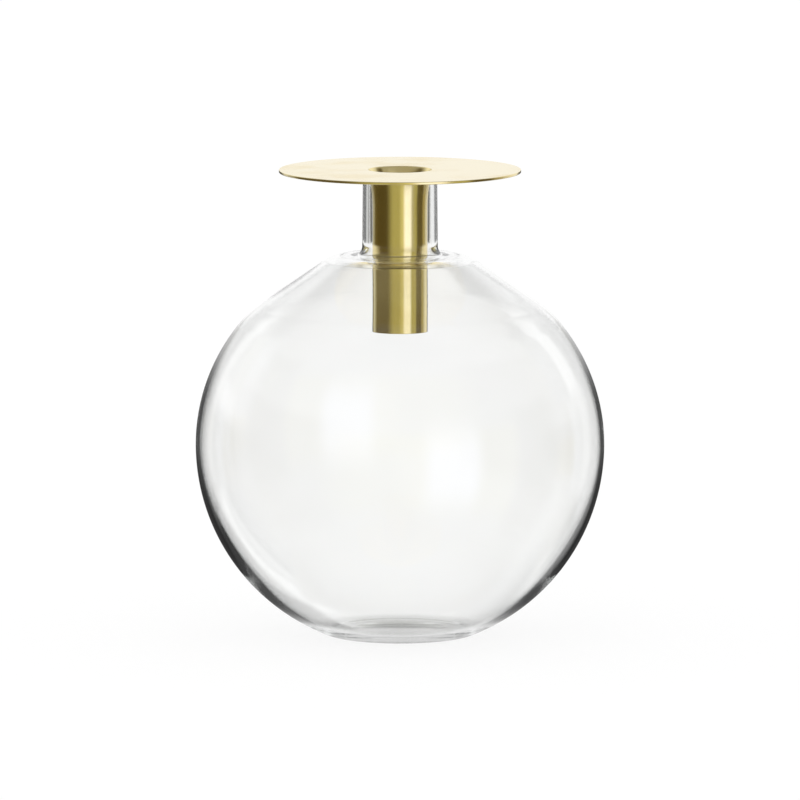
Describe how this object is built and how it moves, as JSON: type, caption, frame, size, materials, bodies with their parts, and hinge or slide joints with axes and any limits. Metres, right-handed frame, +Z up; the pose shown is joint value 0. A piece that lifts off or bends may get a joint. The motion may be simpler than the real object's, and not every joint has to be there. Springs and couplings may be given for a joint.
{
  "type": "vase",
  "caption": "Round clear-glass vase with a short neck and a loose brass insert: a thin flat disc on the rim with a tube through the neck that holds stems upright.",
  "frame": {"origin": "on the table, at the middle of the globe's base", "axes": "+Z up along the axis of the globe, the neck and the tube; X and Y level, and alike on a round object"},
  "size_m": [0.18, 0.18, 0.206],
  "materials": {
    "clear_glass": "clear blown glass, smooth and glossy, thicker towards the base",
    "disc_brass": "polished flat brass with fine turning marks",
    "tube_brass": "drawn brass tube, polished, with fine scratches"
  },
  "bodies": {
    "vessel": {"glass_globe": "clear_glass"},
    "insert": {"insert_disc": "disc_brass", "stem_tube": "tube_brass"}
  },
  "joints": [
    {"name": "insert_lift", "type": "slide", "parent": "vessel", "child": "insert", "axis": [0, 0, 1], "range_m": [0, 0.085]}
  ]
}
